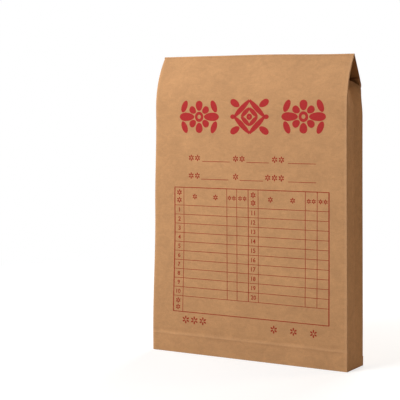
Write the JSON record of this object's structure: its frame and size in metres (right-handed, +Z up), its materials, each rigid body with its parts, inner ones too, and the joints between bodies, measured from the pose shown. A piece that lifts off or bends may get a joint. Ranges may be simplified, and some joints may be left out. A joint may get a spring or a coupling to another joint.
{
  "type": "document envelope",
  "caption": "Standing gusseted kraft paper document envelope with a folded bottom, a flap over its mouth and a string wound round card buttons.",
  "frame": {"origin": "middle of the bounding box at the foot, on the surface that the envelope stands on", "axes": "+Z up towards the ridge, front face towards -Y, buttons towards +Y, +X to the right seen from the front"},
  "size_m": [0.24, 0.0462, 0.3349],
  "materials": {
    "kraft": "matt kraft paper, fine fibres",
    "kraft_inside": "matt kraft paper, inner layers",
    "button_card": "white glossy coated card",
    "eyelet_metal": "plated pressed metal",
    "string": "twisted cotton"
  },
  "bodies": {
    "back": {"back_panel": "kraft", "seam_lap": "kraft_inside", "bottom_panel": "kraft", "bottom_closing_flap": "kraft", "bottom_inner_flap": "kraft_inside", "left_bottom_tuck": "kraft_inside", "right_bottom_tuck": "kraft_inside", "left_gusset_front": "kraft", "left_gusset_rear": "kraft", "right_gusset_front": "kraft", "right_gusset_rear": "kraft", "left_mouth_tuck_front": "kraft", "left_mouth_tuck_rear": "kraft", "right_mouth_tuck_front": "kraft", "right_mouth_tuck_rear": "kraft", "body_eyelet": "eyelet_metal", "body_washer": "kraft_inside", "closure_string": "string"},
    "front": {"front_panel": "kraft"},
    "front_fold": {"front_top": "kraft"},
    "back_fold": {"back_top": "kraft"},
    "flap": {"flap": "kraft", "flap_eyelet": "eyelet_metal", "flap_washer": "kraft_inside"},
    "flap_disc": {"flap_button": "button_card"},
    "body_disc": {"body_button": "button_card"}
  },
  "joints": [
    {"name": "collapse", "type": "slide", "parent": "back", "child": "front", "axis": [0, -1, 0], "range_m": [-0.036, 0], "deforming": ["left_gusset_front", "left_gusset_rear", "right_gusset_front", "right_gusset_rear", "left_mouth_tuck_front", "left_mouth_tuck_rear", "right_mouth_tuck_front", "right_mouth_tuck_rear", "bottom_panel", "bottom_inner_flap", "left_bottom_tuck", "right_bottom_tuck", "closure_string"]},
    {"name": "front_bend", "type": "hinge", "parent": "front", "child": "front_fold", "pos_m": [0, -0.02306, 0.275], "axis": [1, 0, 0], "range_deg": [0, 14.1]},
    {"name": "back_shoulder", "type": "hinge", "parent": "back", "child": "back_fold", "pos_m": [0, 0.01694, 0.296], "axis": [1, 0, 0], "range_deg": [-29.6, 0]},
    {"name": "flap_fold", "type": "hinge", "parent": "back_fold", "child": "flap", "pos_m": [0, -0.00306, 0.335], "axis": [1, 0, 0], "range_deg": [0, 180], "deforming": ["closure_string"]},
    {"name": "flap_button_spin", "type": "hinge", "parent": "flap", "child": "flap_disc", "pos_m": [-0.0015, 0.00926, 0.31324], "axis": [0, 0.8703, 0.4925], "continuous": true},
    {"name": "body_button_spin", "type": "hinge", "parent": "back", "child": "body_disc", "pos_m": [0.002, 0.01694, 0.239], "axis": [0, 1, 0], "continuous": true}
  ],
  "couplings": [
    {"joint": "front_bend", "follows": "collapse", "rad_per_m": -6.7874},
    {"joint": "back_shoulder", "follows": "collapse", "rad_per_m": 14.304}
  ]
}
